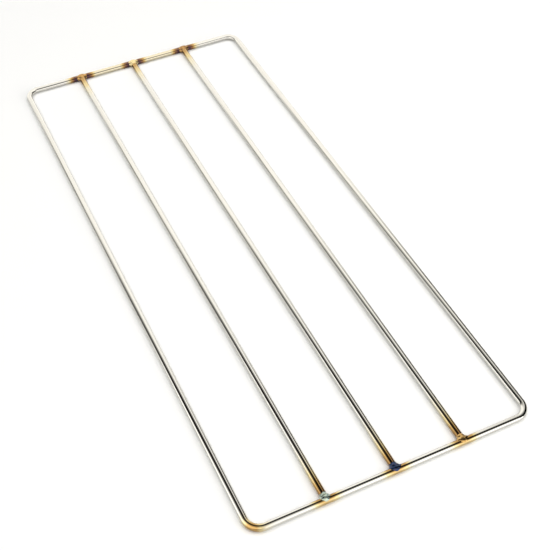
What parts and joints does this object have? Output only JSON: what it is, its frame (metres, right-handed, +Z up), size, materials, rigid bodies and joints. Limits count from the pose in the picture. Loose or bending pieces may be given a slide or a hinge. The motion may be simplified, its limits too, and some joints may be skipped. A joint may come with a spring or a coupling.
{
  "type": "grill grate",
  "caption": "Flat rectangular grill grate of round stainless rod: a bent frame with rounded corners and straight bars butt welded between its short rails.",
  "frame": {"origin": "middle of the frame, on the surface that the grate lies on", "axes": "+Y along the bars towards the far rail, +X across the bars to the right, +Z up, to the side that the joints are welded from"},
  "size_m": [0.208, 0.495, 0.0058],
  "materials": {
    "rod": "drawn stainless rod, bright, with straw to brown heat tint at the welds",
    "weld": "rippled weld bead with straw, copper and blue-black heat tint"
  },
  "bodies": {
    "root": {"frame": "rod", "bar_left": "rod", "bar_centre": "rod", "bar_right": "rod", "weld_far_left": "weld", "weld_far_centre": "weld", "weld_far_right": "weld", "weld_near_left": "weld", "weld_near_centre": "weld", "weld_near_right": "weld"}
  },
  "joints": []
}
